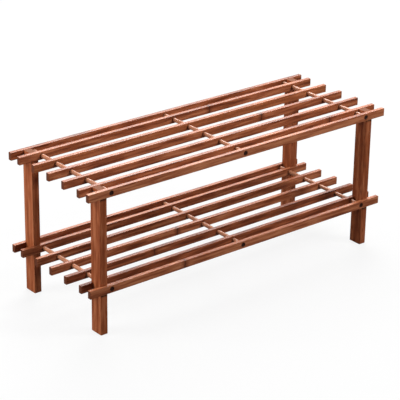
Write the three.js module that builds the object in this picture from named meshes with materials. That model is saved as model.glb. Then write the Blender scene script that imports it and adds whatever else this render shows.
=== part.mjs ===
// A low slatted bench with a shoe shelf under its seat, in carbonised bamboo.
//
// The seat and the shelf are two grids of the same kind: seven slats on edge, threaded on three
// round rods. At the front and at the back the last two slats make a pair, and the pair grips
// two legs. Each leg is notched on both faces where a pair crosses it, so the slats sit in the
// leg, and the rods beside the legs hold the pairs together.
//
// Units are millimetres. +X runs along the slats, +Y goes to the back and +Z is up. The origin is
// on the floor, under the middle of the bench.

import * as THREE from "three";

// Overall sizes
const benchHeight = 300; // floor to the top of the seat slats
const benchDepth = 265; // over the outer faces of the front and back slats
const seatLength = 750; // a seat slat, end to end
const shelfInset = 2; // end of a shelf slat inside the end of a seat slat
const shelfHeight = 103; // floor to the top of the shelf slats

// Slats
const slatHeight = 16.5;
const slatThickness = 9;
const slatEdge = 0.8; // width of the broken edge
const middleSlats = 3; // slats between the front pair and the back pair
const pairGap = 20.5; // clear gap between the two slats of a pair

// Legs
const legWidth = 16; // along the slats
const legEdge = 1;
const legOverhang = 29; // end of a seat slat to the outer side of the leg
const outerNotch = 3.5; // how deep the outermost slat sits in the leg
const innerNotch = 6.5; // how deep the other slat of the pair sits in the leg
const legTopInset = 0.5; // top of the leg below the top of the seat slats

// Rods
const rodDiameter = 8.4;
const rodEdge = 0.6;
const rodEndInset = 1; // end of a rod inside the outer slat's face
const rodToLeg = 2.5; // side of the leg to the nearest rod

// Clearances
const rodClearance = 0.3; // all round a rod, in its hole
const notchClearance = 0.3; // between a slat and the leg around it
const roundSides = 16; // sides of a rod or a hole

// Places worked out from the sizes above, each from the middle of the bench
const outerRow = benchDepth / 2 - slatThickness / 2;
const innerRow = outerRow - slatThickness - pairGap;
const pairMiddle = (outerRow + innerRow) / 2;
const legMiddle = seatLength / 2 - legOverhang - legWidth / 2;
const endRod = legMiddle - legWidth / 2 - rodToLeg - rodDiameter / 2;

const decks = [
  { name: "seat", top: benchHeight, slatLength: seatLength },
  { name: "shelf", top: shelfHeight, slatLength: seatLength - 2 * shelfInset },
];
const rods = [
  { name: "left", x: -endRod },
  { name: "centre", x: 0 },
  { name: "right", x: endRod },
];

const slatFinish = new THREE.MeshStandardMaterial({ color: 0x9c5d3f, roughness: 0.5, metalness: 0 });
const rodFinish = new THREE.MeshStandardMaterial({ color: 0xb97a58, roughness: 0.5, metalness: 0 });
const legFinish = new THREE.MeshStandardMaterial({ color: 0x8a4a2e, roughness: 0.5, metalness: 0 });

/** The places of a deck's slats from back to front. */
function slatRows() {
  const rows = [outerRow];
  const step = (2 * innerRow) / (middleSlats + 1);
  for (let i = 0; i <= middleSlats + 1; i += 1) {
    rows.push(innerRow - i * step);
  }
  rows.push(-outerRow);
  return rows;
}

/** A prism of the outline, whose two end faces have broken edges, centred on its own length. */
function prism(outline, length, edge) {
  const geometry = new THREE.ExtrudeGeometry(outline, {
    depth: length - 2 * edge,
    bevelEnabled: true,
    bevelThickness: edge,
    bevelSize: edge,
    bevelOffset: -edge,
    bevelSegments: 1,
    curveSegments: roundSides / 2,
  });
  geometry.translate(0, 0, edge - length / 2);
  return geometry;
}

/** A slat's side view: a rectangle with broken corners and a hole for each rod. */
function slatOutline(length) {
  const x = length / 2;
  const z = slatHeight / 2;
  const outline = new THREE.Shape([
    new THREE.Vector2(-x + slatEdge, -z),
    new THREE.Vector2(x - slatEdge, -z),
    new THREE.Vector2(x, -z + slatEdge),
    new THREE.Vector2(x, z - slatEdge),
    new THREE.Vector2(x - slatEdge, z),
    new THREE.Vector2(-x + slatEdge, z),
    new THREE.Vector2(-x, z - slatEdge),
    new THREE.Vector2(-x, -z + slatEdge),
  ]);
  for (const rod of rods) {
    const hole = new THREE.Path();
    hole.absarc(rod.x, 0, rodDiameter / 2 + rodClearance, 0, 2 * Math.PI, true);
    outline.holes.push(hole);
  }
  return outline;
}

/** A slat on edge, centred on its row and just under the top of its deck. */
function makeSlat(deck, number, row) {
  const geometry = prism(slatOutline(deck.slatLength), slatThickness, slatEdge);
  const slat = new THREE.Mesh(geometry, slatFinish);
  slat.name = `${deck.name}_slat_${number}`;
  slat.rotation.x = Math.PI / 2;
  slat.position.set(0, row, deck.top - slatHeight / 2);
  return slat;
}

/** A round rod through every slat of a deck, at half the height of the slats. */
function makeRod(deck, rod) {
  const end = benchDepth / 2 - rodEndInset;
  const radius = rodDiameter / 2;
  const profile = [
    new THREE.Vector2(0, -end),
    new THREE.Vector2(radius - rodEdge, -end),
    new THREE.Vector2(radius, -end + rodEdge),
    new THREE.Vector2(radius, end - rodEdge),
    new THREE.Vector2(radius - rodEdge, end),
    new THREE.Vector2(0, end),
  ];
  const mesh = new THREE.Mesh(new THREE.LatheGeometry(profile, roundSides), rodFinish);
  mesh.name = `${deck.name}_rod_${rod.name}`;
  mesh.position.set(rod.x, 0, deck.top - slatHeight / 2);
  return mesh;
}

/**
 * One face of a leg, from the floor to the top: full depth, cut back to the neck where a slat
 * crosses it. `side` is 1 for the face that looks out of the bench and -1 for the other.
 */
function legFace(side, notch) {
  const neck = side * (pairGap / 2 - notchClearance);
  const full = side * (pairGap / 2 + notch);
  const shelfTop = shelfHeight + notchClearance;
  const shelfFloor = shelfHeight - slatHeight - notchClearance;
  const seatFloor = benchHeight - slatHeight - notchClearance;
  return [
    new THREE.Vector2(full, 0),
    new THREE.Vector2(full, shelfFloor),
    new THREE.Vector2(neck, shelfFloor),
    new THREE.Vector2(neck, shelfTop),
    new THREE.Vector2(full, shelfTop),
    new THREE.Vector2(full, seatFloor),
    new THREE.Vector2(neck, seatFloor),
    new THREE.Vector2(neck, benchHeight - legTopInset),
  ];
}

/** A leg, notched for both decks. `along` is -1 at the left and `across` is -1 at the front. */
function makeLeg(name, along, across) {
  const outline = new THREE.Shape([...legFace(1, outerNotch), ...legFace(-1, innerNotch).reverse()]);
  const leg = new THREE.Mesh(prism(outline, legWidth, legEdge), legFinish);
  leg.name = name;
  // The outline's own x points out of the bench, its y up and its z along the slats.
  leg.rotation.set(Math.PI / 2, across * Math.PI / 2, 0);
  leg.position.set(along * legMiddle, across * pairMiddle, 0);
  return leg;
}

const bench = new THREE.Group();
for (const deck of decks) {
  const grid = new THREE.Group();
  slatRows().forEach((row, index) => grid.add(makeSlat(deck, index + 1, row)));
  rods.forEach((rod) => grid.add(makeRod(deck, rod)));
  bench.add(grid);
}
bench.add(makeLeg("leg_back_left", -1, 1));
bench.add(makeLeg("leg_back_right", 1, 1));
bench.add(makeLeg("leg_front_left", -1, -1));
bench.add(makeLeg("leg_front_right", 1, -1));

export default bench;
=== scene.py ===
# %% [markdown]
# # A low slatted bench in carbonised bamboo
#
# The bench is a kit of straight sticks: fourteen slats on edge, six round rods that thread them
# into a seat and a shoe shelf, and four notched legs. Its shape is simple, so the lesson is
# about making sticks that look like real bamboo when the light rakes over them: soft arrises,
# drilled holes with eased rims, end grain, fibres, and the odd dark mark where the cane had a
# joint.
#
# The engineering model is loaded first. It fixes every size and place, and it never moves.

# %% Load the frame
import math

import bpy
from mathutils import Matrix, Vector


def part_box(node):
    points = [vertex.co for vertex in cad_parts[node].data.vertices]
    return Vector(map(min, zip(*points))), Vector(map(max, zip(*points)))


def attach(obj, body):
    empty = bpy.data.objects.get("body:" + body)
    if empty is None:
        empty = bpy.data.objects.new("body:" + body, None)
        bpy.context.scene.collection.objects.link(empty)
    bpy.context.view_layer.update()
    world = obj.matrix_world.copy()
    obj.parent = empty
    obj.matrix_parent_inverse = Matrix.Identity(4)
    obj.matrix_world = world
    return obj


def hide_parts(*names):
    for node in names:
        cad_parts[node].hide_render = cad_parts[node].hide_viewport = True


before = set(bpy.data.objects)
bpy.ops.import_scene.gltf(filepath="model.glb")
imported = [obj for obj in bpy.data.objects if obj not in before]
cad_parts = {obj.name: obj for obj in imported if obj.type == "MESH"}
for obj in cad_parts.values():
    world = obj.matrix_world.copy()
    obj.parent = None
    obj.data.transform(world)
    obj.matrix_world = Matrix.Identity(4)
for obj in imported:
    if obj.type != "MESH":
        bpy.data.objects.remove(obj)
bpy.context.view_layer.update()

# %% [markdown]
# ## Sizes, read from the frame
#
# Every measure that the pieces share is taken from the boxes of the engineering nodes, so the
# looks follow the model if it changes. Only what a box can't tell, such as the radius of a
# rounded arris, is chosen here, in metres.

# %% Measure the sticks
MM = 0.001
DECKS = ("seat", "shelf")
SLATS_PER_DECK = 7
ROD_NAMES = ("left", "centre", "right")
LEG_NAMES = ("back_left", "back_right", "front_left", "front_right")


def middle_and_size(node):
    """The centre of a node's box and its three side lengths."""
    low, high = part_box(node)
    return (low + high) / 2, high - low


slat_size = middle_and_size("seat_slat_1")[1]
rod_size = middle_and_size("seat_rod_centre")[1]
leg_size = middle_and_size("leg_front_left")[1]
rod_places = [middle_and_size(f"seat_rod_{name}")[0].x for name in ROD_NAMES]
rod_spacing = rod_places[1] - rod_places[0]
print("slat", tuple(slat_size), "rod", tuple(rod_size), "leg", tuple(leg_size))
print("rods are", rod_spacing, "apart")

# %% [markdown]
# ## Camera
#
# A long lens far away keeps the sticks nearly parallel, as a catalogue picture does. The camera
# stands to the left of the front and a little above, and leans by less than a degree.

# %% Place the camera
AIM = Vector((-0.0037, 0.0014, 0.1462))
CAMERA_DISTANCE = 3.5726
CAMERA_LEFT_OF_FRONT = math.radians(39.24)
CAMERA_HEIGHT_ANGLE = math.radians(23.71)
CAMERA_LEAN = math.radians(0.90)
CAMERA_SEES_TO = 100.0
LENS = 158.3
SENSOR = 36.0


def direction(left_of_front, above):
    """A unit vector from the bench towards a place to the left of its front and above it."""
    flat = math.cos(above)
    return Vector((-math.sin(left_of_front) * flat, -math.cos(left_of_front) * flat, math.sin(above)))


def look_at(thing, place, target, lean=0.0):
    """Puts a camera or a light at a place and turns it to face the target."""
    turn = (target - place).to_track_quat("-Z", "Y").to_matrix().to_4x4()
    thing.matrix_world = Matrix.Translation(place) @ turn @ Matrix.Rotation(lean, 4, "Z")


camera_data = bpy.data.cameras.new("camera")
camera_data.lens = LENS
camera_data.sensor_width = SENSOR
camera_data.clip_end = CAMERA_SEES_TO
camera = bpy.data.objects.new("camera", camera_data)
bpy.context.collection.objects.link(camera)
camera_side = direction(CAMERA_LEFT_OF_FRONT, CAMERA_HEIGHT_ANGLE)
look_at(camera, AIM + CAMERA_DISTANCE * camera_side, AIM, CAMERA_LEAN)
bpy.context.scene.camera = camera
print("camera at", tuple(camera.location))

# %% [markdown]
# ## A small kit for node trees
#
# Geometry trees and shader trees are both graphs of nodes with sockets. One helper adds a node,
# sets its properties and fills its inputs, either with a number or with another node's output.
# With it a tree reads from top to bottom like a recipe.

# %% Helpers for node trees
NODE_STEP = 190


def add(tree, kind, inputs=None, **settings):
    """Adds a node. `inputs` maps a socket's name or number to a value or to another socket."""
    made = tree.nodes.new(kind)
    made.location.x = NODE_STEP * len(tree.nodes)
    for name, value in settings.items():
        setattr(made, name, value)
    for key, value in (inputs or {}).items():
        if isinstance(value, bpy.types.NodeSocket):
            tree.links.new(value, made.inputs[key])
        else:
            made.inputs[key].default_value = value
    return made


def math_node(tree, operation, *values):
    """A Math node's result."""
    return add(tree, "ShaderNodeMath", dict(enumerate(values)), operation=operation).outputs[0]


def new_tree(name, kind, inputs, outputs):
    """A node group, and its inputs' sockets. An input is a socket type and a usual value."""
    tree = bpy.data.node_groups.new(name, kind)
    for label, (socket_type, value) in inputs.items():
        socket = tree.interface.new_socket(label, in_out="INPUT", socket_type=socket_type)
        if value is not None:
            socket.default_value = value
    for label, socket_type in outputs.items():
        tree.interface.new_socket(label, in_out="OUTPUT", socket_type=socket_type)
    return tree, tree.nodes.new("NodeGroupInput").outputs


def tell(tree):
    """Prints the size of a finished tree."""
    print(f"{tree.name}: {len(tree.nodes)} nodes")


FLOAT = "NodeSocketFloat"
WHOLE = "NodeSocketInt"
VECTOR = "NodeSocketVector"
MATERIAL = "NodeSocketMaterial"
GEOMETRY = "NodeSocketGeometry"

# %% [markdown]
# ## From a geometry tree to a plain mesh
#
# A tree is run once for each stick, with that stick's own sizes. The result is kept as an
# ordinary mesh, so that the piece can ride on the frame like any other.

# %% Run a tree and keep its mesh
EASE_ANGLE = math.radians(40)
EASE_STEPS = 3


def grow(tree, name, sizes):
    """Runs a geometry tree with these named sizes and returns a plain mesh object."""
    piece = bpy.data.objects.new(name, bpy.data.meshes.new(name))
    bpy.context.collection.objects.link(piece)
    modifier = piece.modifiers.new("Build", "NODES")
    modifier.node_group = tree
    for socket in tree.interface.items_tree:
        if socket.in_out == "INPUT" and socket.name in sizes:
            modifier[socket.identifier] = sizes[socket.name]
    evaluated = piece.evaluated_get(bpy.context.evaluated_depsgraph_get())
    mesh = bpy.data.meshes.new_from_object(evaluated)
    piece.modifiers.remove(modifier)
    empty = piece.data
    piece.data = mesh
    bpy.data.meshes.remove(empty)
    mesh.name = name
    return piece


def ease_edges(piece, width):
    """Rounds what the saw and the drill left sharp, and keeps the flat faces looking flat."""
    bevel = piece.modifiers.new("Eased edges", "BEVEL")
    bevel.limit_method = "ANGLE"
    bevel.angle_limit = EASE_ANGLE
    bevel.width = width
    bevel.segments = EASE_STEPS
    piece.modifiers.new("Flat faces", "WEIGHTED_NORMAL").keep_sharp = True


# %% [markdown]
# ## The slat
#
# A real slat is ripped from laminated bamboo board, its long arrises are rounded on a router
# table, it is cut to length, and three holes are drilled through it side to side. The tree does
# the same: a rounded rectangle is swept along the length, a row of cylinders is placed on
# points, one for each rod, and cut away. Modelling the holes as real cuts, and not as dark
# discs, lets light into the ring around each rod. Sanding leaves every face a little crowned, so
# the outline bulges by about a seventh of a millimetre, which bends the light across the face. The
# drill is spun by half a side, because a corner of the hole that fell on a line of the face would
# leave a spot with no clear direction there, and the light would smear across it.

# %% Names, vectors and lines
QUARTER_TURN = math.pi / 2


def attribute_name(label):
    """The name under which a look is stored on a stick."""
    return label.lower().replace(" ", "_")


def vector(tree, x=0.0, y=0.0, z=0.0):
    """A vector put together from three numbers or sockets."""
    return add(tree, "ShaderNodeCombineXYZ", {"X": x, "Y": y, "Z": z}).outputs["Vector"]


def half_of(tree, value):
    """Half of a number that comes from a socket."""
    return math_node(tree, "MULTIPLY", value, 0.5)


def minus(tree, value):
    """The negative of a number that comes from a socket."""
    return math_node(tree, "MULTIPLY", value, -1.0)


def centred_line(tree, axis, length):
    """A straight line along an axis (x, y or z), with its middle at the origin."""
    half = half_of(tree, length)
    start = vector(tree, **{axis: minus(tree, half)})
    end = vector(tree, **{axis: half})
    line = add(tree, "GeometryNodeCurvePrimitiveLine", {"Start": start, "End": end})
    return line.outputs["Curve"]


# %% A stick with rounded arrises
ROUND_STEPS = 4
FACE_CUTS = 3
SECTION_INPUTS = {"Arris Radius": (FLOAT, 1.0 * MM), "Crown": (FLOAT, 0.15 * MM)}


def crowned(tree, outline, width, height, crown):
    """Pulls the edges of each side of a rectangle inwards, so that the side bulges a little."""
    position = add(tree, "GeometryNodeInputPosition").outputs["Position"]
    place = add(tree, "ShaderNodeSeparateXYZ", {"Vector": position}).outputs
    across = math_node(tree, "DIVIDE", place["X"], half_of(tree, width))
    upwards = math_node(tree, "DIVIDE", place["Y"], half_of(tree, height))
    moves = []
    for own, other in ((across, upwards), (upwards, across)):
        depth = math_node(tree, "MULTIPLY", math_node(tree, "MULTIPLY", other, other), crown)
        moves.append(minus(tree, math_node(tree, "MULTIPLY", own, depth)))
    offset = vector(tree, *moves)
    crowned_outline = add(tree, "GeometryNodeSetPosition", {"Geometry": outline, "Offset": offset})
    return crowned_outline.outputs["Geometry"]


def rounded_bar(tree, line, width, height, radius, crown):
    """A crowned, rounded rectangle swept along a line: a sanded stick with its ends closed."""
    outline = add(tree, "GeometryNodeCurvePrimitiveQuadrilateral", {"Width": width, "Height": height})
    rounded = add(
        tree,
        "GeometryNodeFilletCurve",
        {"Curve": outline.outputs["Curve"], "Count": ROUND_STEPS, "Radius": radius},
        mode="POLY",
    )
    divided = add(
        tree,
        "GeometryNodeSubdivideCurve",
        {"Curve": rounded.outputs["Curve"], "Cuts": FACE_CUTS},
    )
    profile = crowned(tree, divided.outputs["Curve"], width, height, crown)
    swept = add(
        tree,
        "GeometryNodeCurveToMesh",
        {"Curve": line, "Profile Curve": profile, "Fill Caps": True},
    )
    return swept.outputs["Mesh"]


# %% The looks that a stick carries
# These numbers are stored on a stick as attributes, and its material reads them. Tone makes a stick
# paler or deeper, warmth turns it towards its finish's second brown, streaks darkens its vessels,
# joint says where along the stick the cane had a joint, and rod height says how high above the floor
# a drilled stick's holes are.
NOWHERE = 9.0
LOOK_INPUTS = {
    "Tone": (FLOAT, 0.0),
    "Warmth": (FLOAT, 0.0),
    "Streaks": (FLOAT, 0.0),
    "Joint": (FLOAT, NOWHERE),
    "Rod Height": (FLOAT, NOWHERE),
}
SHARED_INPUTS = {"Place": (VECTOR, None), **LOOK_INPUTS, "Material": (MATERIAL, None)}
print("looks that a stick carries:", ", ".join(LOOK_INPUTS))

# %% How every stick's tree starts and ends


def new_stick_tree(name, sizes):
    """A geometry tree with a stick's own sizes, then the inputs that all the sticks share."""
    return new_tree(name, "GeometryNodeTree", {**sizes, **SHARED_INPUTS}, {"Geometry": GEOMETRY})


def finish_tree(tree, geometry, given):
    """Moves the stick to its place, stores its looks, and hands it on realized and dressed."""
    moved = add(tree, "GeometryNodeTransform", {"Geometry": geometry, "Translation": given["Place"]})
    result = add(tree, "GeometryNodeSetShadeSmooth", {"Geometry": moved.outputs["Geometry"]})
    for label in LOOK_INPUTS:
        stored = {
            "Geometry": result.outputs["Geometry"],
            "Name": attribute_name(label),
            "Value": given[label],
        }
        result = add(tree, "GeometryNodeStoreNamedAttribute", stored)
    real = add(tree, "GeometryNodeRealizeInstances", {"Geometry": result.outputs["Geometry"]})
    dressed = add(
        tree,
        "GeometryNodeSetMaterial",
        {"Geometry": real.outputs["Geometry"], "Material": given["Material"]},
    )
    add(tree, "NodeGroupOutput", {"Geometry": dressed.outputs["Geometry"]})


# %% The slat's tree
HOLE_SIDES = 40
DRILL_LENGTHS = 3.0  # length of the drill, in thicknesses of the slat


def make_slat_tree():
    """A stick along X with a row of round holes through its sides."""
    sizes = {
        "Length": (FLOAT, 750 * MM),
        "Height": (FLOAT, 16.5 * MM),
        "Thickness": (FLOAT, 9 * MM),
        "Hole Radius": (FLOAT, 4.5 * MM),
        "Hole Spacing": (FLOAT, 323 * MM),
        "Hole Count": (WHOLE, 3),
        **SECTION_INPUTS,
    }
    tree, given = new_stick_tree("Bench slat", sizes)
    bar = rounded_bar(
        tree,
        centred_line(tree, "x", given["Length"]),
        given["Thickness"],
        given["Height"],
        given["Arris Radius"],
        given["Crown"],
    )
    gaps = math_node(tree, "SUBTRACT", given["Hole Count"], 1.0)
    row_length = math_node(tree, "MULTIPLY", gaps, given["Hole Spacing"])
    row = add(
        tree,
        "GeometryNodeMeshLine",
        {
            "Count": given["Hole Count"],
            "Start Location": vector(tree, x=minus(tree, half_of(tree, row_length))),
            "Offset": vector(tree, x=given["Hole Spacing"]),
        },
    )
    drill = add(
        tree,
        "GeometryNodeMeshCylinder",
        {
            "Vertices": HOLE_SIDES,
            "Radius": given["Hole Radius"],
            "Depth": math_node(tree, "MULTIPLY", given["Thickness"], DRILL_LENGTHS),
        },
    )
    half_step = math.pi / HOLE_SIDES
    spun = add(
        tree,
        "GeometryNodeTransform",
        {"Geometry": drill.outputs["Mesh"], "Rotation": (0.0, 0.0, half_step)},
    )
    drills = add(
        tree,
        "GeometryNodeInstanceOnPoints",
        {
            "Points": row.outputs["Mesh"],
            "Instance": spun.outputs["Geometry"],
            "Rotation": (QUARTER_TURN, 0.0, 0.0),
        },
    )
    cutters = add(tree, "GeometryNodeRealizeInstances", {"Geometry": drills.outputs["Instances"]})
    drilled = add(
        tree,
        "GeometryNodeMeshBoolean",
        {"Mesh 1": bar, "Mesh 2": cutters.outputs["Geometry"]},
        operation="DIFFERENCE",
        solver="EXACT",
    )
    finish_tree(tree, drilled.outputs["Mesh"], given)
    return tree


slat_tree = make_slat_tree()
tell(slat_tree)

# %% [markdown]
# ## The rod
#
# A rod is a bamboo dowel. It is turned from one strip, so it is a plain round stick, and its ends
# are a millimetre short of the outer slats' faces, where they show as dark discs: end grain
# drinks the stain. A circle swept along a line is all it needs, and its ends are eased later.

# %% The rod's tree
ROD_SIDES = 40


def make_rod_tree():
    """A round stick along Y."""
    sizes = {"Length": (FLOAT, 263 * MM), "Radius": (FLOAT, 4.2 * MM)}
    tree, given = new_stick_tree("Bench rod", sizes)
    circle = add(
        tree,
        "GeometryNodeCurvePrimitiveCircle",
        {"Resolution": ROD_SIDES, "Radius": given["Radius"]},
    )
    swept = add(
        tree,
        "GeometryNodeCurveToMesh",
        {
            "Curve": centred_line(tree, "y", given["Length"]),
            "Profile Curve": circle.outputs["Curve"],
            "Fill Caps": True,
        },
    )
    finish_tree(tree, swept.outputs["Mesh"], given)
    return tree


rod_tree = make_rod_tree()
tell(rod_tree)

# %% [markdown]
# ## The leg
#
# A leg is laminated from strips of bamboo, planed, and notched with a saw and a chisel where a
# pair of slats crosses it: two notches for the seat, open at the top, and two for the shelf. The
# four notches are one cutter placed on the four corners of a grid, whose width is the distance
# between the two slats of a pair and whose height is the distance between the decks.

# %% The leg's tree
CUTTER_WIDTHS = 2.0  # length of a notch's cutter, in widths of the leg


def make_leg_tree():
    """A stick along Z with a notch wherever a slat crosses it."""
    sizes = {
        "Width": (FLOAT, 16 * MM),
        "Depth": (FLOAT, 30.5 * MM),
        "Height": (FLOAT, 299.5 * MM),
        "Notch Centre": (VECTOR, None),
        "Pair Spacing": (FLOAT, 29.5 * MM),
        "Deck Spacing": (FLOAT, 197 * MM),
        "Notch Thickness": (FLOAT, 9.6 * MM),
        "Notch Height": (FLOAT, 17.1 * MM),
        **SECTION_INPUTS,
    }
    tree, given = new_stick_tree("Bench leg", sizes)
    bar = rounded_bar(
        tree,
        centred_line(tree, "z", given["Height"]),
        given["Width"],
        given["Depth"],
        given["Arris Radius"],
        given["Crown"],
    )
    corners = add(
        tree,
        "GeometryNodeMeshGrid",
        {
            "Size X": given["Deck Spacing"],
            "Size Y": given["Pair Spacing"],
            "Vertices X": 2,
            "Vertices Y": 2,
        },
    )
    upright = add(
        tree,
        "GeometryNodeTransform",
        {
            "Geometry": corners.outputs["Mesh"],
            "Translation": given["Notch Centre"],
            "Rotation": (0.0, QUARTER_TURN, 0.0),
        },
    )
    through = math_node(tree, "MULTIPLY", given["Width"], CUTTER_WIDTHS)
    block = add(
        tree,
        "GeometryNodeMeshCube",
        {"Size": vector(tree, through, given["Notch Thickness"], given["Notch Height"])},
    )
    blocks = add(
        tree,
        "GeometryNodeInstanceOnPoints",
        {"Points": upright.outputs["Geometry"], "Instance": block.outputs["Mesh"]},
    )
    cutters = add(tree, "GeometryNodeRealizeInstances", {"Geometry": blocks.outputs["Instances"]})
    notched = add(
        tree,
        "GeometryNodeMeshBoolean",
        {"Mesh 1": bar, "Mesh 2": cutters.outputs["Geometry"]},
        operation="DIFFERENCE",
        solver="EXACT",
    )
    finish_tree(tree, notched.outputs["Mesh"], given)
    return tree


leg_tree = make_leg_tree()
tell(leg_tree)

# %% [markdown]
# ## What bamboo is made of
#
# Bamboo has no rings and no rays. It is a bundle of straight fibres, so along the stick it shows
# long thin streaks, and across the cut it shows specks. Steaming under pressure, which the trade
# calls carbonising, browns the sugar in it, and some strips come out deeper than others.
#
# Six effects are shared by all the sticks, so each is a node group of its own: the fibres, the
# joints of the cane, the end grain, the arrises that handling has rubbed pale, the strips that a
# stick is glued up from, and the dark rims of the drilled holes, a stain with painted shade round
# the rods. One big graph could hold them all, but separate groups can be tuned alone, and each
# stands for one thing that can be seen.

# %% Helpers for patterns


def noise(tree, place, scale=1.0, detail=2.0, roughness=0.5):
    """The grey value of a Noise texture."""
    made = add(
        tree,
        "ShaderNodeTexNoise",
        {"Vector": place, "Scale": scale, "Detail": detail, "Roughness": roughness},
    )
    return made.outputs["Fac"]


def eased(tree, value, low, high, at_low, at_high):
    """A value that eases from one number, at the low end of a range, to another at its high end."""
    made = add(
        tree,
        "ShaderNodeMapRange",
        {"Value": value, "From Min": low, "From Max": high, "To Min": at_low, "To Max": at_high},
        interpolation_type="SMOOTHSTEP",
    )
    return made.outputs["Result"]


def rises(tree, value, low, high):
    """Zero below a range, one above it, and eased in between."""
    return eased(tree, value, low, high, 0.0, 1.0)


def fades(tree, value, low, high):
    """One below a range, zero above it, and eased in between."""
    return eased(tree, value, low, high, 1.0, 0.0)


def centred(tree, pattern, spread):
    """A pattern of grey values turned into a number that swings this much in all, about zero."""
    return math_node(tree, "MULTIPLY_ADD", pattern, spread, -0.5 * spread)


def vector_math(tree, operation, *values):
    """The outputs of a Vector Math node."""
    return add(tree, "ShaderNodeVectorMath", dict(enumerate(values)), operation=operation).outputs


# %% [markdown]
# ## Fibres
#
# Noise is the same in every direction, so it is squeezed: the place is divided by a fibre's length
# along the stick and by its width across it. Three layers come from the same squeezed place. The
# finest is the fibres, a broader one the slow change of tone over a strip, and the peaks of a third
# are the dark vessels, the short dashes that tell bamboo from pine.

# %% Group: fibres
FIBRE_LENGTH = 26 * MM
FIBRE_DETAIL = 3.0
FIBRE_ROUGHNESS = 0.65
BAND_STRETCH = (0.35, 0.14, 0.14)
VESSEL_STRETCH = (1.2, 0.7, 0.7)
VESSEL_STARTS = 0.56
VESSEL_FULL = 0.68


def make_fibre_group():
    """Streaks along X: fine fibres, broad bands of tone and short dark vessels."""
    inputs = {
        "Vector": (VECTOR, None),
        "Fibre Length": (FLOAT, FIBRE_LENGTH),
        "Fibre Width": (FLOAT, 0.8 * MM),
    }
    outputs = {"Fine": FLOAT, "Broad": FLOAT, "Vessels": FLOAT}
    tree, given = new_tree("Bamboo fibres", "ShaderNodeTree", inputs, outputs)
    size = vector(tree, given["Fibre Length"], given["Fibre Width"], given["Fibre Width"])
    place = vector_math(tree, "DIVIDE", given["Vector"], size)["Vector"]
    band_place = vector_math(tree, "MULTIPLY", place, BAND_STRETCH)["Vector"]
    vessel_place = vector_math(tree, "MULTIPLY", place, VESSEL_STRETCH)["Vector"]
    fine = noise(tree, place, detail=FIBRE_DETAIL, roughness=FIBRE_ROUGHNESS)
    broad = noise(tree, band_place, detail=1.0)
    vessels = rises(tree, noise(tree, vessel_place, detail=1.0), VESSEL_STARTS, VESSEL_FULL)
    add(tree, "NodeGroupOutput", {"Fine": fine, "Broad": broad, "Vessels": vessels})
    return tree


fibre_group = make_fibre_group()
tell(fibre_group)

# %% [markdown]
# ## Joints of the cane
#
# A cane is closed by a wall every 300 mm or so. Once it is sawn into strips, a wall is a dark line
# across the stick with a stained patch to both sides of it. The distance from the joint gives both,
# and a little noise makes the line wander.

# %% Group: joints of the cane
JOINT_WIDTH = 2.2 * MM
JOINT_WANDER = 6 * MM
JOINT_WANDER_SCALE = 170.0
SHADOW_WIDTHS = 6.0  # reach of the stained patch, in widths of the line


def make_joint_group():
    """The mark of a cane's joint: a thin dark line across the stick, and a shadow around it."""
    inputs = {"Vector": (VECTOR, None), "Place": (FLOAT, NOWHERE), "Width": (FLOAT, JOINT_WIDTH)}
    tree, given = new_tree("Cane joint", "ShaderNodeTree", inputs, {"Line": FLOAT, "Shadow": FLOAT})
    along = add(tree, "ShaderNodeSeparateXYZ", {"Vector": given["Vector"]}).outputs["X"]
    wander = centred(tree, noise(tree, given["Vector"], JOINT_WANDER_SCALE), JOINT_WANDER)
    offset = math_node(tree, "SUBTRACT", math_node(tree, "ADD", along, wander), given["Place"])
    distance = math_node(tree, "ABSOLUTE", offset)
    line = fades(tree, distance, 0.0, given["Width"])
    reach = math_node(tree, "MULTIPLY", given["Width"], SHADOW_WIDTHS)
    shadow = fades(tree, distance, 0.0, reach)
    add(tree, "NodeGroupOutput", {"Line": line, "Shadow": shadow})
    return tree


joint_group = make_joint_group()
tell(joint_group)

# %% [markdown]
# ## End grain
#
# Where a stick is cut across, the open ends of its fibres drink the stain. The faces that look
# along the fibres are found by their normals, so the sawn ends need no material of their own, and
# the cells of a Voronoi texture are the cut fibres.

# %% Group: end grain
SPECK_SIZE = 0.9 * MM
END_STARTS = 0.7
END_FULL = 0.9
SPECK_MIDDLE = 0.15
SPECK_RIM = 0.45


def make_end_grain_group():
    """Where a face looks along the fibres, and the specks of the cut fibres there."""
    inputs = {
        "Vector": (VECTOR, None),
        "Facing": (FLOAT, 0.0),
        "Speck Size": (FLOAT, SPECK_SIZE),
    }
    tree, given = new_tree("End grain", "ShaderNodeTree", inputs, {"Mask": FLOAT, "Specks": FLOAT})
    mask = rises(tree, math_node(tree, "ABSOLUTE", given["Facing"]), END_STARTS, END_FULL)
    scale = math_node(tree, "DIVIDE", 1.0, given["Speck Size"])
    cells = add(tree, "ShaderNodeTexVoronoi", {"Vector": given["Vector"], "Scale": scale})
    specks = fades(tree, cells.outputs["Distance"], SPECK_MIDDLE, SPECK_RIM)
    add(tree, "NodeGroupOutput", {"Mask": mask, "Specks": specks})
    return tree


end_grain_group = make_end_grain_group()
tell(end_grain_group)

# %% [markdown]
# ## Rubbed arrises
#
# Hands and shoes rub the stain off the arrises first. A Bevel node gives the normal of a softened
# copy of the surface, and where it differs from the true normal there is an arris near. Wear could
# also be painted by hand, but this follows every hole and notch by itself.

# %% Group: rubbed arrises
WEAR_REACH = 1.2 * MM
BEVEL_SAMPLES = 4
WEAR_FULL = 0.80
WEAR_STARTS = 0.99
PATCH_SCALE = 90.0
PATCH_DETAIL = 3.0
PATCH_STARTS = 0.35
PATCH_FULL = 0.65


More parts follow.
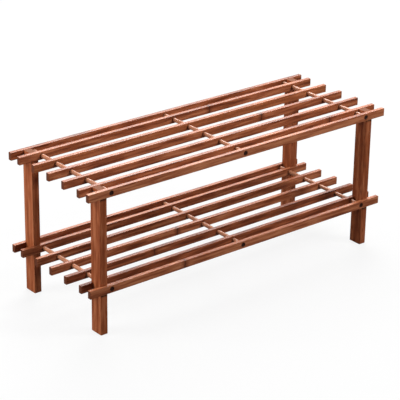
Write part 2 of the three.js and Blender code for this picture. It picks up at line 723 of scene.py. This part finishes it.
def make_wear_group():
    """How near a point is to an arris, broken up so that the wear isn't an even line."""
    inputs = {"Vector": (VECTOR, None), "Reach": (FLOAT, WEAR_REACH)}
    tree, given = new_tree("Rubbed arrises", "ShaderNodeTree", inputs, {"Mask": FLOAT})
    softened = add(tree, "ShaderNodeBevel", {"Radius": given["Reach"]}, samples=BEVEL_SAMPLES)
    true_normal = add(tree, "ShaderNodeNewGeometry").outputs["Normal"]
    agreement = vector_math(tree, "DOT_PRODUCT", softened.outputs["Normal"], true_normal)["Value"]
    edge = fades(tree, agreement, WEAR_FULL, WEAR_STARTS)
    patches = noise(tree, given["Vector"], PATCH_SCALE, PATCH_DETAIL)
    broken = rises(tree, patches, PATCH_STARTS, PATCH_FULL)
    add(tree, "NodeGroupOutput", {"Mask": math_node(tree, "MULTIPLY", edge, broken)})
    return tree


wear_group = make_wear_group()
tell(wear_group)

# %% [markdown]
# ## Laminated strips
#
# No cane is thick enough for a leg, so boards are glued up from strips, and each strip has its own
# tone. Dividing the place across the stick by the strip's width numbers the strips: the whole part
# picks a random tone, and the rest tells how near the glue is.

# %% Group: laminated strips
GLUE_SHARE = 0.06  # how much of a strip the stain at a glue line covers


def make_strip_group():
    """Strips glued side by side across Y: each strip's own tone, and the glue lines between."""
    inputs = {"Vector": (VECTOR, None), "Strip Width": (FLOAT, 6 * MM)}
    tree, given = new_tree("Laminated strips", "ShaderNodeTree", inputs, {"Tone": FLOAT, "Glue": FLOAT})
    across = add(tree, "ShaderNodeSeparateXYZ", {"Vector": given["Vector"]}).outputs["Y"]
    count = math_node(tree, "DIVIDE", across, given["Strip Width"])
    strip = math_node(tree, "FLOOR", count)
    tone = add(tree, "ShaderNodeTexWhiteNoise", {"W": strip}, noise_dimensions="1D").outputs["Value"]
    from_glue = math_node(tree, "PINGPONG", count, 0.5)
    glue = fades(tree, from_glue, 0.0, GLUE_SHARE)
    add(tree, "NodeGroupOutput", {"Tone": tone, "Glue": glue})
    return tree


strip_group = make_strip_group()
tell(strip_group)

# %% [markdown]
# ## Drilled rims: stain and painted shade
#
# A drill opens the fibres round its hole, and the stain darkens them. The same ring is also painted
# shade: it darkens the wall of the hole and the face round each rod, where the rod's shadow and the
# gap round it fall. The holes are evenly spaced and one is in the middle of the bench, so the
# nearest hole is found by rounding, and the distance from its axis gives the ring. A stick without
# holes keeps its rod height far away.

# %% Group: drilled rims, stain and painted shade
# How far the ring of stain and painted shade reaches out from a hole.
RIM_STAIN_AND_SHADE_REACH = 2.0 * MM


def make_rim_stain_and_shade_group():
    """The dark ring around a hole through Y: stain where the end grain has drunk it, and painted shade
    round the rod.
    """
    inputs = {
        "Vector": (VECTOR, None),
        "Spacing": (FLOAT, 323 * MM),
        "Height": (FLOAT, NOWHERE),
        "Radius": (FLOAT, 4.2 * MM),
        "Reach": (FLOAT, RIM_STAIN_AND_SHADE_REACH),
    }
    tree, given = new_tree("Drilled rim stain and painted shade", "ShaderNodeTree", inputs, {"Mask": FLOAT})
    place = add(tree, "ShaderNodeSeparateXYZ", {"Vector": given["Vector"]}).outputs
    holes_away = math_node(tree, "DIVIDE", place["X"], given["Spacing"])
    nearest = math_node(tree, "ROUND", holes_away)
    part_hole = math_node(tree, "SUBTRACT", holes_away, nearest)
    sideways = math_node(tree, "MULTIPLY", part_hole, given["Spacing"])
    upwards = math_node(tree, "SUBTRACT", place["Z"], given["Height"])
    from_axis = vector_math(tree, "LENGTH", vector(tree, sideways, upwards))["Value"]
    outside = math_node(tree, "ADD", given["Radius"], given["Reach"])
    mask = fades(tree, from_axis, given["Radius"], outside)
    add(tree, "NodeGroupOutput", {"Mask": mask})
    return tree


rim_stain_and_shade_group = make_rim_stain_and_shade_group()
tell(rim_stain_and_shade_group)

# %% [markdown]
# ## The finish
#
# One recipe serves slats, rods and legs, because they are the same stuff under the same satin
# lacquer. What differs is the way the fibres run, how wide the strips are and how deep the brown
# is, so those are the recipe's arguments. The pattern is laid on Object coordinates, turned so
# that X always runs along the fibres; as every stick is in its own place, no two look alike.
#
# The recipe has three steps: the brown of the bamboo itself, the marks painted over it one after
# another, and the lacquer on top. Each is a short function.

# %% Helpers for materials


def group_node(tree, group, inputs):
    """The outputs of a node that uses one of the shared groups."""
    return add(tree, "ShaderNodeGroup", inputs, node_tree=group).outputs


def mix_colour(tree, factor, first, second):
    """Two colours mixed, the second over the first."""
    made = add(tree, "ShaderNodeMix", {"Factor": factor, 6: first, 7: second}, data_type="RGBA")
    return made.outputs[2]


def attribute(tree, label):
    """A number that the geometry tree stored on the stick."""
    return add(tree, "ShaderNodeAttribute", attribute_name=attribute_name(label)).outputs["Fac"]


def colour_ramp(tree, value, colours):
    """A ramp through evenly spaced colours."""
    made = add(tree, "ShaderNodeValToRGB", {"Fac": value})
    ramp = made.color_ramp
    for index, colour in enumerate(colours):
        place = index / (len(colours) - 1)
        element = ramp.elements[index] if index < 2 else ramp.elements.new(place)
        element.position = place
        element.color = colour
    return made.outputs["Color"]


# %% The browns
# The first three run from the darkest fibre to the palest. The next three are the second browns of
# slats, rods and legs. Four more are for joints and sawn ends. The joints' brown also paints the dark
# rims of the drilled holes, a stain with painted shade round the rods. The last is where the stain is
# rubbed away.
DEEP_BROWN = (0.120, 0.026, 0.008, 1.0)
RED_BROWN = (0.300, 0.083, 0.031, 1.0)
PALE_BROWN = (0.500, 0.185, 0.085, 1.0)
ORANGE_BROWN = (0.380, 0.120, 0.036, 1.0)
DOWEL_BROWN = (0.420, 0.205, 0.115, 1.0)
RICH_BROWN = (0.290, 0.066, 0.017, 1.0)
# Also the rims of the drilled holes: a stain with painted shade round the rods.
JOINT_AND_RIM_SHADE_BROWN = (0.040, 0.010, 0.004, 1.0)
END_BROWN = (0.115, 0.030, 0.011, 1.0)
LEG_END_BROWN = (0.175, 0.055, 0.020, 1.0)
DYED_BROWN = (0.026, 0.006, 0.002, 1.0)
RUBBED_BROWN = (0.560, 0.270, 0.150, 1.0)

# %% The brown of the bamboo itself
# How far the fibres and the bands swing the tone of a stick whose contrast is 1.
FINE_SPREAD = 1.5
BROAD_SPREAD = 1.8
MIDDLE_TONE = 0.5


def bamboo_brown(tree, fibres, strips, contrast, strip_contrast, warm_colour):
    """Fibres, bands and strips that vary about the stick's tone, warmed as the stick asks."""
    patterns = (
        (fibres["Fine"], FINE_SPREAD * contrast),
        (fibres["Broad"], BROAD_SPREAD * contrast),
        (strips["Tone"], strip_contrast),
    )
    grain = math_node(tree, "ADD", attribute(tree, "Tone"), MIDDLE_TONE)
    for pattern, spread in patterns:
        grain = math_node(tree, "ADD", grain, centred(tree, pattern, spread))
    brown = colour_ramp(tree, grain, (DEEP_BROWN, RED_BROWN, PALE_BROWN))
    return mix_colour(tree, attribute(tree, "Warmth"), brown, warm_colour)


# %% The marks painted over it
# How strongly each mark shows where its mask is full. A streaked stick's vessels show more.
VESSEL_STRENGTH = 0.25
STREAK_STRENGTH = 0.6
GLUE_STRENGTH = 0.25
SHADOW_STRENGTH = 0.75
LINE_STRENGTH = 0.9
SPECK_STRENGTH = 0.5
# The rims' ring is a stain with painted shade round the rods.
RIM_STAIN_AND_SHADE_STRENGTH = 0.85


def paint_over(tree, colour, layers):
    """Paints layers over a colour. Each is a mask, how strongly it shows, and its paint."""
    for mask, strength, paint in layers:
        colour = mix_colour(tree, math_node(tree, "MULTIPLY", mask, strength), colour, paint)
    return colour


# %% The lacquer on top
SMOOTHEST = 0.34
ROUGHER_ON_FIBRES = 0.18
ROUGHER_ON_ENDS = 0.3
PIT_DEPTH = 0.5
BUMP_STRENGTH = 0.35
BUMP_DEPTH = 0.15 * MM
SPECULAR_LEVEL = 0.22
LACQUER_ROUGHNESS = 0.3


def satin_lacquer(tree, colour, fibres, ends, gloss):
    """A thin coat that follows the fibres and sinks into the sawn ends, which stay dull."""
    roughness = math_node(tree, "MULTIPLY_ADD", fibres["Fine"], ROUGHER_ON_FIBRES, SMOOTHEST)
    roughness = math_node(tree, "MULTIPLY_ADD", ends["Mask"], ROUGHER_ON_ENDS, roughness)
    coat = math_node(tree, "MULTIPLY_ADD", ends["Mask"], -gloss, gloss)
    pits = math_node(tree, "MULTIPLY", fibres["Vessels"], PIT_DEPTH)
    height = math_node(tree, "SUBTRACT", fibres["Fine"], pits)
    bump_inputs = {"Strength": BUMP_STRENGTH, "Distance": BUMP_DEPTH, "Height": height}
    bump = add(tree, "ShaderNodeBump", bump_inputs)
    lacquer = add(
        tree,
        "ShaderNodeBsdfPrincipled",
        {
            "Base Color": colour,
            "Roughness": roughness,
            "Specular IOR Level": SPECULAR_LEVEL,
            "Coat Weight": coat,
            "Coat Roughness": LACQUER_ROUGHNESS,
            "Normal": bump.outputs["Normal"],
        },
    )
    add(tree, "ShaderNodeOutputMaterial", {"Surface": lacquer.outputs["BSDF"]})


# %% The whole recipe
FIBRES_ALONG = {  # the turn that brings the fibres to X, and the axis that they follow
    "X": ((0.0, 0.0, 0.0), (1.0, 0.0, 0.0)),
    "Y": ((0.0, 0.0, -QUARTER_TURN), (0.0, 1.0, 0.0)),
    "Z": ((0.0, QUARTER_TURN, 0.0), (0.0, 0.0, 1.0)),
}


def stained_bamboo(
    name,
    along,
    fibre_width,
    contrast,
    strip_width,
    strip_contrast,
    warm_colour,
    end_colour,
    wear_amount,
    gloss,
):
    """Satin stained bamboo, for sticks whose fibres run along one axis."""
    material = bpy.data.materials.new(name)
    material.use_nodes = True
    tree = material.node_tree
    tree.nodes.clear()

    turn, axis = FIBRES_ALONG[along]
    coordinates = add(tree, "ShaderNodeTexCoord").outputs
    turned = add(tree, "ShaderNodeMapping", {"Vector": coordinates["Object"], "Rotation": turn})
    place = turned.outputs["Vector"]
    facing = vector_math(tree, "DOT_PRODUCT", coordinates["Normal"], axis)["Value"]

    fibres = group_node(tree, fibre_group, {"Vector": place, "Fibre Width": fibre_width})
    strips = group_node(tree, strip_group, {"Vector": place, "Strip Width": strip_width})
    joint = group_node(tree, joint_group, {"Vector": place, "Place": attribute(tree, "Joint")})
    ends = group_node(tree, end_grain_group, {"Vector": place, "Facing": facing})
    wear = group_node(tree, wear_group, {"Vector": place})
    # The ring round each hole: stain, and painted shade where the rod and the gap round it meet the
    # slat.
    hole = {
        "Vector": coordinates["Object"],
        "Spacing": rod_spacing,
        "Height": attribute(tree, "Rod Height"),
        "Radius": rod_size.x / 2,
    }
    rim_stain_and_shade = group_node(tree, rim_stain_and_shade_group, hole)

    streaks = attribute(tree, "Streaks")
    vessel_strength = math_node(tree, "MULTIPLY_ADD", streaks, STREAK_STRENGTH, VESSEL_STRENGTH)
    cut = paint_over(tree, end_colour, [(ends["Specks"], SPECK_STRENGTH, DYED_BROWN)])
    layers = [
        (fibres["Vessels"], vessel_strength, DEEP_BROWN),
        (strips["Glue"], GLUE_STRENGTH, DEEP_BROWN),
        (joint["Shadow"], SHADOW_STRENGTH, DEEP_BROWN),
        (joint["Line"], LINE_STRENGTH, JOINT_AND_RIM_SHADE_BROWN),
        (wear["Mask"], wear_amount, RUBBED_BROWN),
        (ends["Mask"], 1.0, cut),
        # Rims: stain, and painted shade round each rod.
        (rim_stain_and_shade["Mask"], RIM_STAIN_AND_SHADE_STRENGTH, JOINT_AND_RIM_SHADE_BROWN),
    ]
    brown = bamboo_brown(tree, fibres, strips, contrast, strip_contrast, warm_colour)
    satin_lacquer(tree, paint_over(tree, brown, layers), fibres, ends, gloss)
    return material


# %% The three finishes


def slat_finish():
    """Slats: fibres along X, each slat ripped from one strip or from two."""
    return stained_bamboo(
        "stained bamboo slats",
        along="X",
        fibre_width=0.8 * MM,
        contrast=1.0,
        strip_width=11 * MM,
        strip_contrast=0.1,
        warm_colour=ORANGE_BROWN,
        end_colour=END_BROWN,
        wear_amount=0.2,
        gloss=0.10,
    )


def rod_finish():
    """Rods: fibres along Y, and ends that have drunk the stain."""
    return stained_bamboo(
        "stained bamboo rods",
        along="Y",
        fibre_width=0.6 * MM,
        contrast=0.6,
        strip_width=40 * MM,
        strip_contrast=0.0,
        warm_colour=DOWEL_BROWN,
        end_colour=DYED_BROWN,
        wear_amount=0.0,
        gloss=0.35,
    )


def leg_finish():
    """Legs: fibres along Z, and several strips glued side by side."""
    return stained_bamboo(
        "stained bamboo legs",
        along="Z",
        fibre_width=1.0 * MM,
        contrast=1.6,
        strip_width=7 * MM,
        strip_contrast=0.2,
        warm_colour=RICH_BROWN,
        end_colour=LEG_END_BROWN,
        wear_amount=0.15,
        gloss=0.06,
    )


finishes = {"slats": slat_finish(), "rods": rod_finish(), "legs": leg_finish()}
print("finishes:", [finish.name for finish in finishes.values()])

# %% [markdown]
# ## Making and placing the sticks
#
# Every stick replaces the engineering node of the same place, one for one, so the bench still
# comes apart into named pieces. Its looks are given for each stick: how pale it is, how warm, and
# where the cane had a joint. Last, a Bevel modifier eases the ends, the holes and the notches,
# because a drill and a saw leave them sharp and no sanded stick is.

# %% A stick and its looks


def make_stick(tree, node, slot, sizes, looks):
    """Grows one stick, rides it on the frame and hides the engineering node that it stands for."""
    chosen = {label: looks.get(label, usual) for label, (_, usual) in LOOK_INPUTS.items()}
    piece = grow(tree, f"{node}_stick", {**sizes, **chosen, "Material": finishes[slot]})
    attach(piece, "root")
    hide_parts(node)
    return piece


# %% Slats
HOLE_CLEARANCE = 0.3 * MM
SLAT_ARRIS = 0.7 * MM
SLAT_EASE = 0.4 * MM
SLAT_LOOKS = {  # a joint's place is in metres from the middle of the bench
    "seat_slat_1": {"Tone": -0.12},
    "seat_slat_2": {"Joint": 0.093, "Tone": -0.02},
    "seat_slat_3": {"Warmth": 0.35, "Tone": 0.05},
    "seat_slat_4": {"Joint": 0.150, "Tone": 0.04},
    "seat_slat_6": {"Joint": 0.249, "Tone": -0.02},
    "seat_slat_7": {"Tone": 0.22},
    "shelf_slat_2": {"Tone": 0.08},
    "shelf_slat_3": {"Tone": 0.08},
    "shelf_slat_4": {"Joint": -0.066, "Tone": 0.02},
    "shelf_slat_5": {"Joint": -0.162, "Tone": -0.30},
    "shelf_slat_6": {"Tone": -0.28},
    "shelf_slat_7": {"Joint": -0.147, "Tone": 0.10},
}


def make_slat(node):
    """One slat, drilled for the rods and as long as its node."""
    centre, size = middle_and_size(node)
    sizes = {
        "Length": size.x,
        "Height": size.z,
        "Thickness": size.y,
        "Arris Radius": SLAT_ARRIS,
        "Hole Radius": rod_size.x / 2 + HOLE_CLEARANCE,
        "Hole Spacing": rod_spacing,
        "Hole Count": len(rod_places),
        "Place": centre,
    }
    looks = {**SLAT_LOOKS.get(node, {}), "Rod Height": centre.z}
    piece = make_stick(slat_tree, node, "slats", sizes, looks)
    ease_edges(piece, SLAT_EASE)
    return piece


slat_numbers = range(1, SLATS_PER_DECK + 1)
slats = [make_slat(f"{deck}_slat_{number}") for deck in DECKS for number in slat_numbers]
print("slats:", len(slats), "with", len(slats[0].data.polygons), "faces each before easing")

# %% Rods
ROD_EASE = 0.5 * MM
ROD_LOOKS = {"Tone": 0.08, "Warmth": 0.45}


def make_rod(node):
    """One rod, as long and as thick as its node."""
    centre, size = middle_and_size(node)
    sizes = {"Length": size.y, "Radius": size.x / 2, "Place": centre}
    piece = make_stick(rod_tree, node, "rods", sizes, ROD_LOOKS)
    ease_edges(piece, ROD_EASE)
    return piece


rods = [make_rod(f"{deck}_rod_{name}") for deck in DECKS for name in ROD_NAMES]
print("rods:", len(rods), "with", len(rods[0].data.polygons), "faces each before easing")

# %% Legs
NOTCH_CLEARANCE = 0.3 * MM
LEG_ARRIS = 0.6 * MM
LEG_EASE = 0.4 * MM
LEG_WARMTH = 0.5
LEG_LOOKS = {
    "leg_back_left": {"Tone": 0.06},
    "leg_back_right": {"Tone": -0.16},
    "leg_front_left": {"Tone": 0.08},
    "leg_front_right": {"Streaks": 1.0},
}


def make_leg(node):
    """One leg, notched around the four slats that cross it."""
    centre, size = middle_and_size(node)
    first_number = 1 if centre.y > 0 else SLATS_PER_DECK - 1
    first = middle_and_size(f"seat_slat_{first_number}")[0]
    second = middle_and_size(f"seat_slat_{first_number + 1}")[0]
    below = middle_and_size(f"shelf_slat_{first_number}")[0]
    pair_centre = (first.y + second.y) / 2
    deck_centre = (first.z + below.z) / 2
    sizes = {
        "Width": size.x,
        "Depth": size.y,
        "Height": size.z,
        "Arris Radius": LEG_ARRIS,
        "Notch Centre": Vector((0.0, pair_centre - centre.y, deck_centre - centre.z)),
        "Pair Spacing": first.y - second.y,
        "Deck Spacing": first.z - below.z,
        "Notch Thickness": slat_size.y + 2 * NOTCH_CLEARANCE,
        "Notch Height": slat_size.z + 2 * NOTCH_CLEARANCE,
        "Place": centre,
    }
    looks = {"Warmth": LEG_WARMTH, **LEG_LOOKS[node]}
    piece = make_stick(leg_tree, node, "legs", sizes, looks)
    ease_edges(piece, LEG_EASE)
    return piece


legs = [make_leg(f"leg_{name}") for name in LEG_NAMES]
print("legs:", len(legs), "with", len(legs[0].data.polygons), "faces each before easing")

# %% [markdown]
# ## Studio
#
# The bench stands on a plain white floor under five soft lights. Two are above and behind it, which
# puts a sheen on every top face. Two more at the front bring out the brown of the slats' broad
# faces, and a near one at the left lights the ends. A bright floor all round would wash the brown
# out, because every side would mirror it. So the floor is painted dark enough to throw little light
# back, and only for the camera it glows like a light table, up to plain white.

# %% Floor and air
FLOOR_HALF = 20.0
FLOOR_GREY = 0.08
FLOOR_GLOW = 0.85
AIR_LIGHT = 0.03
WHITE = (1.0, 1.0, 1.0, 1.0)


def seen_directly(tree):
    """One for what the camera looks straight at, and zero for light on its way to the bench."""
    return add(tree, "ShaderNodeLightPath").outputs["Is Camera Ray"]


def make_floor():
    """A plain pale floor under the feet."""
    mesh = bpy.data.meshes.new("floor")
    half = FLOOR_HALF
    corners = [(-half, -half, 0.0), (half, -half, 0.0), (half, half, 0.0), (-half, half, 0.0)]
    mesh.from_pydata(corners, [], [(0, 1, 2, 3)])
    floor = bpy.data.objects.new("floor", mesh)
    bpy.context.collection.objects.link(floor)
    paint = bpy.data.materials.new("white floor")
    paint.use_nodes = True
    tree = paint.node_tree
    shader = tree.nodes["Principled BSDF"]
    shader.inputs["Base Color"].default_value = (FLOOR_GREY, FLOOR_GREY, FLOOR_GREY, 1.0)
    shader.inputs["Roughness"].default_value = 1.0
    shader.inputs["Specular IOR Level"].default_value = 0.0
    shader.inputs["Emission Color"].default_value = WHITE
    glow = math_node(tree, "MULTIPLY", seen_directly(tree), FLOOR_GLOW)
    tree.links.new(glow, shader.inputs["Emission Strength"])
    mesh.materials.append(paint)
    return floor


def make_air():
    """The light that comes from all sides, and the white behind the bench."""
    world = bpy.data.worlds.new("studio")
    world.use_nodes = True
    tree = world.node_tree
    shader = tree.nodes["Background"]
    shader.inputs["Color"].default_value = WHITE
    strength = math_node(tree, "MULTIPLY_ADD", seen_directly(tree), 1.0 - AIR_LIGHT, AIR_LIGHT)
    tree.links.new(strength, shader.inputs["Strength"])
    return world


floor = make_floor()
bpy.context.scene.world = make_air()
bpy.context.scene.view_settings.view_transform = "Standard"
print("floor:", tuple(floor.dimensions))

# %% Lights


def make_softbox(name, left_of_front, above, distance, size, power):
    """A square soft light that faces the bench. Angles are in degrees, power in watts."""
    data = bpy.data.lights.new(name, "AREA")
    data.shape = "SQUARE"
    data.size = size
    data.energy = power
    light = bpy.data.objects.new(name, data)
    bpy.context.collection.objects.link(light)
    side = direction(math.radians(left_of_front), math.radians(above))
    look_at(light, AIM + distance * side, AIM)
    return light


softboxes = [
    make_softbox("behind_high", left_of_front=-145, above=60, distance=3.0, size=1.5, power=60),
    make_softbox("behind_low", left_of_front=-140, above=40, distance=3.0, size=1.5, power=76),
    make_softbox("front_right", left_of_front=-40, above=42, distance=3.0, size=0.7, power=60),
    make_softbox("front", left_of_front=0, above=45, distance=3.0, size=1.0, power=20),
    make_softbox("left", left_of_front=110, above=25, distance=2.0, size=1.0, power=39),
]
print("softboxes:", {light.name: light.data.energy for light in softboxes})
